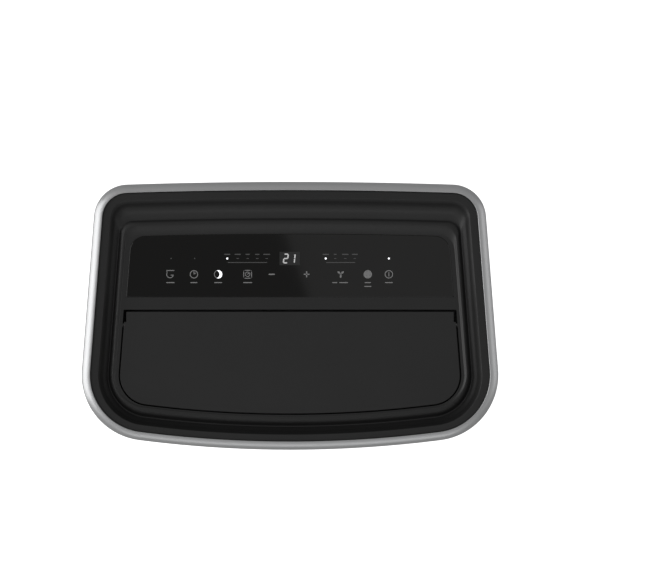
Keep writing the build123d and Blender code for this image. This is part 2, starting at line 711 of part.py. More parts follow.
# ---- Partition, which is also the evaporator's drip tray, and the frame posts ---------------
FRONT_POST = (205, -100)
REAR_POST = (200, 125)
UPPER_REAR_POST = (190, 128)
POST = 14
with BuildPart() as mid_partition:
    with BuildSketch(Plane.XY.offset(PARTITION_Z)):
        add(casing_plan(PARTITION_Z, WALL + 0.8))
    extrude(amount=PARTITION_TOP - PARTITION_Z)
    slab((-168, 168), (86, 89), (PARTITION_TOP, PARTITION_TOP + 10))
    for side in (-1, 1):
        slab(sorted((side * 165, side * 168)), (86, 145), (PARTITION_TOP, PARTITION_TOP + 10))
    slab((-168, 168), (142.5, 145), (PARTITION_TOP, PARTITION_TOP + 10))
    # the two pipes pass with clearance
    rod((LEFT_RUN, 75, PARTITION_Z - 1), 7, 8, mode=Mode.SUBTRACT)
    rod((RIGHT_RUN, 120, PARTITION_Z - 1), 4, 8, mode=Mode.SUBTRACT)
finish(mid_partition, "mid_partition")

with BuildPart() as frame_posts:
    for side in (-1, 1):
        for (x, y), bottom, top in (
            (FRONT_POST, PAN_FLOOR, PARTITION_Z),
            (REAR_POST, PAN_FLOOR, PARTITION_Z),
            (FRONT_POST, PARTITION_TOP, TRAY_FLOOR - DUCT_WALL),
            (UPPER_REAR_POST, PARTITION_TOP, BEZEL_BOTTOM),
        ):
            slab((side * x - POST / 2, side * x + POST / 2), (y - POST / 2, y + POST / 2), (bottom, top))
finish(frame_posts, "frame_posts")


def handle_block(side, inset, depth_x, height):
    """A round-cornered block reaching out through the casing's side from a depth."""
    low, high = height[0] + inset, height[1] - inset
    near, far = HANDLE_Y[0] + inset, HANDLE_Y[1] - inset
    with BuildPart() as block:
        with BuildSketch(Plane.YZ.offset(side * depth_x)):
            with Locations(((near + far) / 2, (low + high) / 2)):
                RectangleRounded(far - near, high - low, HANDLE_CORNER - inset)
        extrude(amount=side * 60)
    return block.part


# ---- Casings --------------------------------------------------------------------------------
shell = envelope(0, CASING_BOTTOM, CASING_TOP) - envelope(WALL, CASING_BOTTOM - 1, CASING_TOP + 1)
inside = envelope(1, CASING_BOTTOM, CASING_TOP)

with BuildPart() as front_casing:
    add(shell)
    # lugs that the bezel is fixed to
    with BuildPart(mode=Mode.PRIVATE) as lugs:
        for side in (-1, 1):
            slab((side * 110 - 8, side * 110 + 8), (-160, -131), (705, BEZEL_BOTTOM))
            slab(sorted((side * 219, side * 250)), (-60, -40), (705, BEZEL_BOTTOM))
        add(inside, mode=Mode.INTERSECT)
    add(lugs.part)
    slab((-300, 300), (SEAM_Y - GAP / 2, 300), (0, HEIGHT), Mode.SUBTRACT)
finish(front_casing, "front_casing")

with BuildPart() as rear_casing:
    add(shell)
    with BuildPart(mode=Mode.PRIVATE) as rear_lugs:
        for side in (-1, 1):
            slab((side * 110 - 8, side * 110 + 8), (130, 160), (705, BEZEL_BOTTOM))
            slab(sorted((side * 216, side * 250)), (70, 90), (705, BEZEL_BOTTOM))
        add(inside, mode=Mode.INTERSECT)
    add(rear_lugs.part)
    slab((-300, 300), (-300, SEAM_Y + GAP / 2), (0, HEIGHT), Mode.SUBTRACT)
    for half, bottom, top in (UPPER_INTAKE, LOWER_INTAKE):
        slab((-half, half), (REAR_Y - 10, REAR_Y + 10), (bottom, top), Mode.SUBTRACT)
    rod((0, REAR_Y - 10, EXHAUST_Z), EXHAUST_R + 4.3, 20, "y", Mode.SUBTRACT)
    for (x, z), radius in ((DRAIN_PLUG, 5.4), (DRAIN_CAP, 6.4), (CORD_GLAND, 7)):
        rod((x, REAR_Y - 10, z), radius, 20, "y", Mode.SUBTRACT)
    for x, z in SCREWS:
        rod((x, REAR_Y - 2, z), 3.8, 10, "y", Mode.SUBTRACT)
    for side in (-1, 1):
        add(handle_block(side, 0, HANDLE_DEPTH_X, HANDLE_Z), mode=Mode.SUBTRACT)
finish(rear_casing, "rear_casing")

with BuildPart() as casing_screws:
    for x, z in SCREWS:
        rod((x, REAR_Y - 2, z), 3.5, 1.8, "y")
        slab((x - 2, x + 2), (REAR_Y - 1.2, REAR_Y), (z - 0.5, z + 0.5), Mode.SUBTRACT)
        slab((x - 0.5, x + 0.5), (REAR_Y - 1.2, REAR_Y), (z - 2, z + 2), Mode.SUBTRACT)
finish(casing_screws, "casing_screws")

# ---- Handle cups: a recess with a grip lip above the mouth ----------------------------------
for side, name in ((-1, "left_handle_cup"), (1, "right_handle_cup")):
    with BuildPart() as cup:
        add(handle_block(side, 0, HANDLE_DEPTH_X, HANDLE_Z))
        add(envelope(0, CASING_BOTTOM, CASING_TOP), mode=Mode.INTERSECT)
        floor = HANDLE_DEPTH_X + CUP_WALL
        add(handle_block(side, CUP_WALL, floor, (HANDLE_Z[0], HANDLE_MOUTH_TOP)), mode=Mode.SUBTRACT)
        with BuildPart(mode=Mode.PRIVATE) as behind_lip:
            add(handle_block(side, CUP_WALL, floor, HANDLE_Z))
            slab(sorted((side * HANDLE_LIP_X, side * 300)), (0, 200), (500, 700), Mode.SUBTRACT)
        add(behind_lip.part, mode=Mode.SUBTRACT)
    finish(cup, name)


# ---- Rear grilles and filters ---------------------------------------------------------------
def grille(half, bottom, top):
    """A framed panel of level slats crossed by uprights."""
    edge = 7
    with BuildPart() as panel:
        slab((-half, half), (149, REAR_Y), (bottom, top))
        slab((edge - half, half - edge), (148, REAR_Y + 1), (bottom + edge, top - edge), Mode.SUBTRACT)
        count = int((top - bottom - 2 * edge) / 8.5)
        pitch = (top - bottom - 2 * edge) / (count + 1)
        for number in range(1, count + 1):
            level = bottom + edge + pitch * number
            slab((edge - half, half - edge), (150, REAR_Y - 0.6), (level - 1.4, level + 1.4))
        for number in range(-3, 4):
            x = number * (half - edge) / 4
            slab((x - 1.2, x + 1.2), (149, REAR_Y - 1.6), (bottom + edge, top - edge))
    return panel.part


def filter_panel(half, bottom, top):
    """A thin frame with a cross-braced screen."""
    with BuildPart() as panel:
        slab((-half, half), (145.6, 149), (bottom, top))
        slab((5 - half, half - 5), (145, 150), (bottom + 5, top - 5), Mode.SUBTRACT)
        slab((4 - half, half - 4), (147, 147.6), (bottom + 4, top - 4))
        for number in range(-2, 3):
            x = number * half / 3
            slab((x - 1, x + 1), (146, 148.6), (bottom + 4, top - 4))
        slab((4 - half, half - 4), (146, 148.6), ((bottom + top) / 2 - 1, (bottom + top) / 2 + 1))
    return panel.part


for prefix, (half, bottom, top) in (("upper", UPPER_INTAKE), ("lower", LOWER_INTAKE)):
    with BuildPart() as panel:
        add(grille(half - 0.4, bottom + 0.4, top - 0.4))
    finish(panel, f"{prefix}_grille")
    with BuildPart() as screen:
        add(filter_panel(half - 4, bottom + 4, top - 4))
    finish(screen, f"{prefix}_filter")

# ---- Rear fittings --------------------------------------------------------------------------
with BuildPart() as exhaust_collar:
    rod((0, CONDENSER_FAN[1], EXHAUST_Z), EXHAUST_R + 4, 75, "y")
    rod((0, REAR_Y, EXHAUST_Z), EXHAUST_R + 14, 3, "y")
    rod((0, CONDENSER_FAN[1] - 1, EXHAUST_Z), EXHAUST_R, 80, "y", Mode.SUBTRACT)
    chamfer(exhaust_collar.faces().sort_by(Axis.Y)[-1].edges(), 0.8)
finish(exhaust_collar, "exhaust_collar")

with BuildPart() as upper_drain_plug:
    rod((DRAIN_PLUG[0], REAR_Y, DRAIN_PLUG[1]), 8, 3.5, "y")
    fillet(upper_drain_plug.faces().sort_by(Axis.Y)[-1].edges(), 1)
    rod((DRAIN_PLUG[0], REAR_Y - 14, DRAIN_PLUG[1]), 5, 14, "y")
finish(upper_drain_plug, "upper_drain_plug")

with BuildPart() as lower_drain_cap:
    rod((DRAIN_CAP[0], REAR_Y, DRAIN_CAP[1]), 9, 4, "y")
    fillet(lower_drain_cap.faces().sort_by(Axis.Y)[-1].edges(), 1)
    rod((DRAIN_CAP[0], REAR_Y - 12, DRAIN_CAP[1]), 6, 12, "y")
finish(lower_drain_cap, "lower_drain_cap")

with BuildPart() as power_cord_gland:
    rod((CORD_GLAND[0], REAR_Y, CORD_GLAND[1]), 10, 5, "y")
    fillet(power_cord_gland.faces().sort_by(Axis.Y)[-1].edges(), 1.5)
    rod((CORD_GLAND[0], REAR_Y - 10, CORD_GLAND[1]), 6.8, 10, "y")
    rod((CORD_GLAND[0], REAR_Y - 11, CORD_GLAND[1]), 4, 20, "y", Mode.SUBTRACT)
finish(power_cord_gland, "power_cord_gland")

# ---- Base pan -------------------------------------------------------------------------------
with BuildPart() as base_pan:
    with BuildSketch(Plane.XY.offset(26)):
        add(casing_plan(CASING_BOTTOM, 1))
    extrude(amount=CASING_BOTTOM - 26)
    with BuildSketch(Plane.XY.offset(CASING_BOTTOM)):
        add(casing_plan(CASING_BOTTOM, WALL + 0.5))
    extrude(amount=6)
    with BuildSketch(Plane.XY.offset(PAN_FLOOR)):
        add(casing_plan(CASING_BOTTOM, WALL + 3))
    extrude(amount=20, mode=Mode.SUBTRACT)
    with BuildSketch(Plane.XY.offset(26)):
        add(casing_plan(CASING_BOTTOM, 4))
    extrude(amount=PAN_FLOOR - 3 - 26, mode=Mode.SUBTRACT)
    for x, y in CASTERS.values():
        rod((x, y, PAN_FLOOR - 3), 11, 15)
        rod((x, y, PAN_FLOOR - 4), STEM_R + RUN_FIT, 13, mode=Mode.SUBTRACT)
finish(base_pan, "base_pan")

# ---- Casters --------------------------------------------------------------------------------
for name, (x, y) in CASTERS.items():
    axle_y = y + TRAIL
    with BuildPart() as fork:
        rod((x, y, PAN_FLOOR - 8), 16, 4.6)
        rod((x, y, PAN_FLOOR - 8), STEM_R, 15)
        for side in (-1, 1):
            cheek = sorted((x + side * (WHEEL_WIDTH / 2 + 1), x + side * (WHEEL_WIDTH / 2 + 4)))
            with BuildSketch(Plane.YZ.offset(cheek[0])):
                with BuildLine():
                    Polyline(
                        (y - 10, PAN_FLOOR - 7),
                        (y + 12, PAN_FLOOR - 7),
                        (axle_y + 6, WHEEL_R),
                        (axle_y - 6, WHEEL_R),
                        close=True,
                    )
                make_face()
                with Locations((axle_y, WHEEL_R)):
                    Circle(6)
            extrude(amount=3)
        rod((x - WHEEL_WIDTH / 2 - 4, axle_y, WHEEL_R), AXLE_R, WHEEL_WIDTH + 8, "x")
    finish(fork, f"{name}_fork")
    with BuildPart() as wheel:
        rod((x - WHEEL_WIDTH / 2, axle_y, WHEEL_R), WHEEL_R, WHEEL_WIDTH, "x")
        fillet(wheel.edges().filter_by(GeomType.CIRCLE), 2.5)
        for face_x in (x - WHEEL_WIDTH / 2, x + WHEEL_WIDTH / 2 - 2):
            rod((face_x, axle_y, WHEEL_R), 13, 2, "x", Mode.SUBTRACT)
            rod((face_x, axle_y, WHEEL_R), 6, 2, "x")
        rod((x - WHEEL_WIDTH, axle_y, WHEEL_R), AXLE_R + RUN_FIT, 2 * WHEEL_WIDTH, "x", Mode.SUBTRACT)
    finish(wheel, f"{name}_wheel")
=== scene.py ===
"""Looks of the portable air conditioner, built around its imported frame. Blender 4.5."""

import json
from math import atan2, cos, pi, radians, sin, sqrt, tan

import bmesh
import bpy
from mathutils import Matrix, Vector


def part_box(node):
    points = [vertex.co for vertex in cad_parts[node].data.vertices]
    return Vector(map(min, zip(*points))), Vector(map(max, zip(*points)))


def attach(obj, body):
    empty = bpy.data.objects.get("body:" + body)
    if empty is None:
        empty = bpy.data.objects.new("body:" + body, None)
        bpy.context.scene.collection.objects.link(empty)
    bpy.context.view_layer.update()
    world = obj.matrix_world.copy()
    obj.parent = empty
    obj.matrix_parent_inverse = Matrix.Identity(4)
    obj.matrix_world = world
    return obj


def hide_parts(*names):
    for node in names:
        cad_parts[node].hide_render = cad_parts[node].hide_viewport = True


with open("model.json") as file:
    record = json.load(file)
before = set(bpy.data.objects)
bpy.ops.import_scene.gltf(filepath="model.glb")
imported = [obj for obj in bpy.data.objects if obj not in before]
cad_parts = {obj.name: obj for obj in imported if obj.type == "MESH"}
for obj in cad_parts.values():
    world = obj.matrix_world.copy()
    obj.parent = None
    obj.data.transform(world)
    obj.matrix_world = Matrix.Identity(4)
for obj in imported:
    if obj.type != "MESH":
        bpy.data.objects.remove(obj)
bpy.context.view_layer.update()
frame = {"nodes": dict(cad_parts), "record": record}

MM = 0.001

# ---- Plan of the top, in millimetres from the middle of the unit ----------------------------
RING_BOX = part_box("top_ring")
TOP = RING_BOX[1][2] / MM
RING_BOTTOM = RING_BOX[0][2] / MM
HALF_DEPTH = (RING_BOX[1][1] - RING_BOX[0][1]) / 2 / MM
GLASS_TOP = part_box("control_glass")[1][2] / MM
BEZEL_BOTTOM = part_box("outlet_duct")[1][2] / MM
HALF_WIDTH = 245
FLARE = radians(4.5)
FRONT_ARC = 1420
BACK_ARC = 6000
STRAIGHT = 100000  # a bow so wide that the edge is straight
RING_WIDTH = 10.2
RIM_BACK_CORNER = 41
RIM_FRONT_CORNER = 79
PANEL_SIDE = 46
PANEL_BACK = 62.5
PANEL_FRONT = 22
PANEL_CORNER = 19
PANEL_THICK = 2.5
PANEL_GAP = 0.3
OUTLET_SIDE = 44
OUTLET_BACK = 7.6
OUTLET_FRONT = 41.6
OUTLET_CORNER = 37


def corner(side, apex, bow, radius, end):
    """Centre of the round corner between a side and the back (end 1) or front (end -1) edge,
    and the angle at which it meets that edge."""
    lean = tan(FLARE)
    half = HALF_WIDTH - (side + radius) / cos(FLARE)
    bow_y = apex - end * bow
    reach = bow - radius
    a = 1 + lean * lean
    b = half * lean + bow_y
    c = half * half + bow_y * bow_y - reach * reach
    y = (b + end * sqrt(b * b - a * c)) / a
    x = half - lean * y
    return x, y, atan2(y - bow_y, x)


def arc(centre, radius, start, stop, count):
    """Points along an arc, both ends included."""
    angles = [start + (stop - start) * step / (count - 1) for step in range(count)]
    return [(centre[0] + radius * cos(a), centre[1] + radius * sin(a)) for a in angles]


def outline(side, back, front):
    """A closed plan outline. side is the inset of the two leaning sides. back and front are
    (apex y, bow radius, corner radius)."""
    back_y, back_bow, back_radius = back
    front_y, front_bow, front_radius = front
    bx, by, back_angle = corner(side, back_y, back_bow, back_radius, 1)
    fx, fy, front_angle = corner(side, front_y, front_bow, front_radius, -1)
    right = arc((0, back_y - back_bow), back_bow, pi / 2, back_angle, 20)
    right += arc((bx, by), back_radius, back_angle, FLARE, 18)[1:]
    right += arc((fx, fy), front_radius, FLARE, front_angle, 24)
    right += arc((0, front_y + front_bow), front_bow, front_angle, -pi / 2, 26)[1:]
    left = [(-x, y) for x, y in reversed(right[1:-1])]
    return right + left


def inset_outline(side, back, front, back_radius, front_radius):
    """The rim's outline moved in by an inset at the sides, the back and the front."""
    return outline(
        side,
        (HALF_DEPTH - back, BACK_ARC - back, back_radius),
        (front - HALF_DEPTH, FRONT_ARC - front, front_radius),
    )


PANEL_HOLE = outline(
    PANEL_SIDE - PANEL_GAP,
    (HALF_DEPTH - PANEL_BACK + PANEL_GAP, BACK_ARC, PANEL_CORNER),
    (PANEL_FRONT - PANEL_GAP, STRAIGHT, 2),
)
OUTLET_HOLE = outline(
    OUTLET_SIDE,
    (OUTLET_BACK, STRAIGHT, 1.2),
    (OUTLET_FRONT - HALF_DEPTH, FRONT_ARC - OUTLET_FRONT, OUTLET_CORNER),
)


# ---- Mesh helpers ---------------------------------------------------------------------------
def raise_to(points, z):
    """Flat millimetre points as metre points at a height."""
    return [Vector((x * MM, y * MM, z * MM)) for x, y in points]


def slope_to(points, back_z, front_z):
    """The same at a height that changes evenly from the back edge to the front edge."""
    risen = []
    for x, y in points:
        forward = (HALF_DEPTH - y) / (2 * HALF_DEPTH)
        risen.append(Vector((x * MM, y * MM, (back_z + (front_z - back_z) * forward) * MM)))
    return risen


def smooth_stations(stations, steps):
    """Catmull-Rom interpolation through rows of numbers."""
    rows = []
    last = len(stations) - 1
    for index in range(last):
        before = stations[max(index - 1, 0)]
        start = stations[index]
        stop = stations[index + 1]
        after = stations[min(index + 2, last)]
        for step in range(steps):
            t = step / steps
            row = []
            for p0, p1, p2, p3 in zip(before, start, stop, after):
                bend = 2 * p0 - 5 * p1 + 4 * p2 - p3
                twist = 3 * p1 - p0 - 3 * p2 + p3
                row.append(0.5 * (2 * p1 + (p2 - p0) * t + bend * t * t + twist * t**3))
            rows.append(row)
    rows.append(list(stations[-1]))
    return rows


def loop_verts(bm, points):
    return [bm.verts.new(point) for point in points]


def skin(bm, loops, close=False):
    """Quads between successive closed loops of vertices."""
    pairs = list(zip(loops, loops[1:]))
    if close:
        pairs.append((loops[-1], loops[0]))
    for lower, upper in pairs:
        for index in range(len(lower)):
            after = (index + 1) % len(lower)
            bm.faces.new((lower[index], lower[after], upper[after], upper[index]))


def loop_edges(bm, loop):
    """The edges round a loop of vertices, made where they are missing."""
    edges = []
    for index, vert in enumerate(loop):
        after = loop[(index + 1) % len(loop)]
        edge = bm.edges.get((vert, after))
        edges.append(edge if edge else bm.edges.new((vert, after)))
    return edges


def fill_between(bm, *loops):
    """A flat face with holes: the first loop is the outside, the others are the holes."""
    edges = [edge for loop in loops for edge in loop_edges(bm, loop)]
    bmesh.ops.triangle_fill(bm, use_beauty=True, edges=edges)


def to_object(bm, name, material, sharp=35):
    """The finished piece, shaded smooth up to an angle, riding on the cabinet."""
    bmesh.ops.recalc_face_normals(bm, faces=bm.faces)
    mesh = bpy.data.meshes.new(name)
    bm.to_mesh(mesh)
    bm.free()
    mesh.shade_smooth()
    mesh.set_sharp_from_angle(angle=radians(sharp))
    mesh.materials.append(material)
    piece = bpy.data.objects.new(name, mesh)
    bpy.context.scene.collection.objects.link(piece)
    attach(piece, "cabinet")
    return piece


def soften_edges(piece, width):
    """A small rounded edge, of a width in millimetres, wherever two faces meet sharply."""
    bevel = piece.modifiers.new("edge", "BEVEL")
    bevel.width = width * MM
    bevel.segments = 2
    bevel.limit_method = "ANGLE"
    bevel.angle_limit = radians(40)
    bevel.harden_normals = True


# ---- Materials ------------------------------------------------------------------------------
class Surface:
    """A procedural material whose colour, roughness and relief come from noise in object space."""

    def __init__(self, name, roughness, metallic=0.0, coat=0.0):
        self.material = bpy.data.materials.new(name)
        self.material.use_nodes = True
        self.tree = self.material.node_tree
        self.shader = self.tree.nodes["Principled BSDF"]
        self.shader.inputs["Roughness"].default_value = roughness
        self.shader.inputs["Metallic"].default_value = metallic
        self.shader.inputs["Coat Weight"].default_value = coat
        self.shader.inputs["Coat Roughness"].default_value = 0.08
        self.place = self.tree.nodes.new("ShaderNodeTexCoord").outputs["Object"]
        self.bump = None

    def node(self, kind, **sockets):
        """A new node with constant values on the named sockets."""
        made = self.tree.nodes.new(kind)
        for name, value in sockets.items():
            made.inputs[name].default_value = value
        return made

    def link(self, source, target):
        self.tree.links.new(source, target)

    def noise(self, scale, detail=3.0, stretch=None):
        """Noise with features of about 1/scale metres, stretched along an axis if asked."""
        made = self.node("ShaderNodeTexNoise", Scale=scale, Detail=detail)
        place = self.place
        if stretch:
            mapping = self.node("ShaderNodeMapping", Scale=stretch)
            self.link(place, mapping.inputs["Vector"])
            place = mapping.outputs["Vector"]
        self.link(place, made.inputs["Vector"])
        return made.outputs["Fac"]

    def colour(self, dark, light, factor):
        """Colour running from dark to light as the factor goes from 0.3 to 0.7."""
        ramp = self.tree.nodes.new("ShaderNodeValToRGB")
        ramp.color_ramp.elements[0].position = 0.3
        ramp.color_ramp.elements[0].color = (*dark, 1)
        ramp.color_ramp.elements[1].position = 0.7
        ramp.color_ramp.elements[1].color = (*light, 1)
        self.link(factor, ramp.inputs["Fac"])
        self.link(ramp.outputs["Color"], self.shader.inputs["Base Color"])

    def rough(self, low, high, factor):
        """Roughness running from low to high with the factor."""
        spread = self.tree.nodes.new("ShaderNodeMapRange")
        spread.inputs["To Min"].default_value = low
        spread.inputs["To Max"].default_value = high
        self.link(factor, spread.inputs["Value"])
        self.link(spread.outputs["Result"], self.shader.inputs["Roughness"])

    def relief(self, height, depth, strength=1.0):
        """Adds relief of a depth in metres; several calls stack."""
        bump = self.node("ShaderNodeBump", Strength=strength, Distance=depth)
        self.link(height, bump.inputs["Height"])
        if self.bump:
            self.link(self.bump, bump.inputs["Normal"])
        self.bump = bump.outputs["Normal"]
        self.link(self.bump, self.shader.inputs["Normal"])


def shade(colour, factor):
    return tuple(min(channel * factor, 1) for channel in colour)


def moulded(name, colour, roughness=0.45, grain=1800, depth=0.00002, spread=0.06):
    """Moulded plastic: a fine spark-eroded grain and a faint drift in its colour."""
    surface = Surface(name, roughness)
    drift = surface.noise(14)
    surface.colour(shade(colour, 1 - spread), shade(colour, 1 + spread), drift)
    fine = surface.noise(grain, detail=2)
    surface.rough(roughness - 0.05, roughness + 0.05, fine)
    surface.relief(fine, depth)
    return surface.material


def lacquer(name, colour, roughness, metallic, coat=0.2):
    """Metallic lacquer: tiny flakes under a thin clear coat."""
    surface = Surface(name, roughness, metallic, coat)
    flakes = surface.noise(5200, detail=1)
    surface.colour(shade(colour, 0.94), shade(colour, 1.06), flakes)
    surface.rough(roughness - 0.03, roughness + 0.04, surface.noise(60))
    surface.relief(surface.noise(900, detail=2), 0.000004)
    return surface.material


def drawn_metal(name, colour, roughness, stretch=(1, 1, 40)):
    """Metal with fine drawing lines and a little staining."""
    surface = Surface(name, roughness, 1.0)
    lines = surface.noise(240, stretch=stretch)
    surface.colour(shade(colour, 0.88), shade(colour, 1.08), surface.noise(22))
    surface.rough(roughness - 0.06, roughness + 0.1, lines)
    surface.relief(lines, 0.00001)
    return surface.material


def galvanised(name, colour):
    """Zinc sheet with its patchwork of crystals."""
    surface = Surface(name, 0.42, 0.85)
    cells = surface.node("ShaderNodeTexVoronoi", Scale=130.0)
    surface.link(surface.place, cells.inputs["Vector"])
    surface.colour(shade(colour, 0.8), shade(colour, 1.15), cells.outputs["Distance"])
    surface.relief(surface.noise(400), 0.00001)
    return surface.material


def gloss_panel(name, colour):
    """Back-printed gloss panel: near black, polished, with a trace of flow in the surface."""
    surface = Surface(name, 0.04)
    surface.colour(shade(colour, 0.94), shade(colour, 1.06), surface.noise(9))
    surface.rough(0.03, 0.06, surface.noise(35))
    surface.relief(surface.noise(18, detail=1), 0.0000015)
    return surface.material


def glowing(name, colour, strength):
    """A lit marking behind the panel."""
    surface = Surface(name, 0.3)
    drift = surface.noise(300)
    surface.colour(shade(colour, 0.9), shade(colour, 1.0), drift)
    surface.shader.inputs["Emission Color"].default_value = (*colour, 1)
    surface.shader.inputs["Emission Strength"].default_value = strength
    return surface.material


def finned(name):
    """Aluminium fins across a coil, turning to copper at the tube bends beyond the end plates."""
    surface = Surface(name, 0.35, 0.9)
    axes = surface.tree.nodes.new("ShaderNodeSeparateXYZ")
    surface.link(surface.place, axes.inputs["Vector"])
    outward = surface.tree.nodes.new("ShaderNodeMath")
    outward.operation = "ABSOLUTE"
    surface.link(axes.outputs["X"], outward.inputs[0])
    beyond = surface.tree.nodes.new("ShaderNodeMath")
    beyond.operation = "GREATER_THAN"
    beyond.inputs[1].default_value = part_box("evaporator_coil")[1][0] - 12 * MM
    surface.link(outward.outputs[0], beyond.inputs[0])
    surface.colour((0.6, 0.61, 0.62), (0.6, 0.29, 0.16), beyond.outputs[0])
    fins = surface.node("ShaderNodeTexWave", Scale=170.0, Distortion=0.4)
    fins.bands_direction = "X"
    surface.link(surface.place, fins.inputs["Vector"])
    surface.relief(fins.outputs["Fac"], 0.0006, 0.8)
    return surface.material


def circuit_board(name):
    """Solder mask over a maze of tracks."""
    surface = Surface(name, 0.25)
    tracks = surface.node("ShaderNodeTexVoronoi", Scale=260.0)
    tracks.distance = "MANHATTAN"
    surface.link(surface.place, tracks.inputs["Vector"])
    surface.colour((0.01, 0.09, 0.035), (0.03, 0.19, 0.08), tracks.outputs["Distance"])
    surface.relief(tracks.outputs["Distance"], 0.00004)
    return surface.material


def screen(name, colour):
    """A fine woven filter screen."""
    surface = Surface(name, 0.6)
    weave = []
    for direction in ("X", "Z"):
        wave = surface.node("ShaderNodeTexWave", Scale=260.0)
        wave.bands_direction = direction
        surface.link(surface.place, wave.inputs["Vector"])
        weave.append(wave.outputs["Fac"])
    crossed = surface.tree.nodes.new("ShaderNodeMath")
    crossed.operation = "MAXIMUM"
    surface.link(weave[0], crossed.inputs[0])
    surface.link(weave[1], crossed.inputs[1])
    surface.colour(shade(colour, 0.35), shade(colour, 1.3), crossed.outputs[0])
    surface.relief(crossed.outputs[0], 0.0002)
    return surface.material


def grey(level):
    return (level, level, level)


FINISHES = {
    "ring_silver": lacquer("silver_lacquer", (0.52, 0.525, 0.53), 0.36, 0.75),
    "bezel_black": moulded("black_moulding", grey(0.011), 0.44),
    "flap_black": moulded("flap_moulding", grey(0.0105), 0.5),
    "panel_glass": gloss_panel("black_panel", (0.0055, 0.0053, 0.005)),
    "casing_white": moulded("white_moulding", (0.72, 0.72, 0.71), 0.4, spread=0.015),
    "cup_white": moulded("cup_moulding", (0.66, 0.66, 0.65), 0.45, spread=0.015),
    "grille_white": moulded("grille_moulding", (0.70, 0.70, 0.69), 0.4, spread=0.015),
    "filter_grey": screen("filter_screen", (0.10, 0.11, 0.12)),
    "base_grey": moulded("base_moulding", grey(0.075), 0.5),
    "duct_grey": moulded("duct_moulding", grey(0.03), 0.55),
    "vane_black": moulded("vane_moulding", grey(0.02), 0.45),
    "gear_white": moulded("acetal", (0.72, 0.70, 0.64), 0.35),
    "pin_steel": drawn_metal("ground_steel", grey(0.55), 0.25, (40, 1, 1)),
    "motor_steel": drawn_metal("plated_steel", (0.5, 0.51, 0.52), 0.35),
    "housing_galvanised": galvanised("galvanised_sheet", (0.46, 0.47, 0.48)),
    "wheel_plastic": moulded("fan_moulding", grey(0.04), 0.5),
    "coil_aluminium": finned("coil_fins"),
    "compressor_black": lacquer("black_enamel", grey(0.02), 0.3, 0.0, coat=0.5),
    "rubber_black": moulded("rubber", grey(0.02), 0.75, grain=600, depth=0.00005),
    "pipe_copper": drawn_metal("copper_tube", (0.62, 0.30, 0.17), 0.28),
    "board_green": circuit_board("solder_mask"),
    "display_dark": moulded("display_block", grey(0.05), 0.3),
    "capacitor_silver": drawn_metal("drawn_can", (0.6, 0.6, 0.61), 0.3),
    "frame_steel": galvanised("frame_zinc", (0.42, 0.43, 0.44)),
    "caster_plastic": moulded("caster_nylon", grey(0.025), 0.35, grain=900),
    "caster_tyre": moulded("caster_tread", grey(0.04), 0.45, grain=700),
    "collar_grey": moulded("collar_moulding", grey(0.14), 0.45),
    "plug_grey": moulded("plug_rubber", grey(0.05), 0.7, grain=700, depth=0.00004),
    "screw_steel": drawn_metal("nickel", grey(0.6), 0.25, (1, 40, 1)),
}

for part in frame["record"]["subparts"]:
    node = frame["nodes"][part["node"]]
    for material_slot in node.material_slots:
        material_slot.material = FINISHES[part["material_slot"]]


# ---- Silver ring ----------------------------------------------------------------------------
# inset and depth below the top, from the outer wall over the shallow crown to the inner wall
CROWN = [
    (0.0, 6.4),
    (0.06, 5.9),
    (0.3, 5.1),
    (0.9, 4.3),
    (2.0, 3.3),
    (3.4, 2.2),
    (5.0, 1.3),
    (6.6, 0.66),
    (8.2, 0.22),
    (9.4, 0.02),
    (9.85, 0.08),
    (10.12, 0.35),
    (10.2, 0.9),
]


def ring_section():
    """(inset, height) round the ring's section, starting at the outer bottom edge."""
    section = [(0, RING_BOTTOM), (0, RING_BOTTOM + 0.6)]
    section += [(inset, TOP - drop) for inset, drop in smooth_stations(CROWN, 3)]
    section += [(RING_WIDTH, TOP - 4), (RING_WIDTH, RING_BOTTOM)]
    return section


def make_ring():
    bm = bmesh.new()
    loops = []
    for inset, z in ring_section():
        plan = inset_outline(
            inset, inset, inset, RIM_BACK_CORNER - inset, RIM_FRONT_CORNER - inset
        )
        loops.append(loop_verts(bm, raise_to(plan, z)))
    skin(bm, loops, close=True)
    ring = to_object(bm, "silver_ring", FINISHES["ring_silver"])
    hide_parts("top_ring")


make_ring()

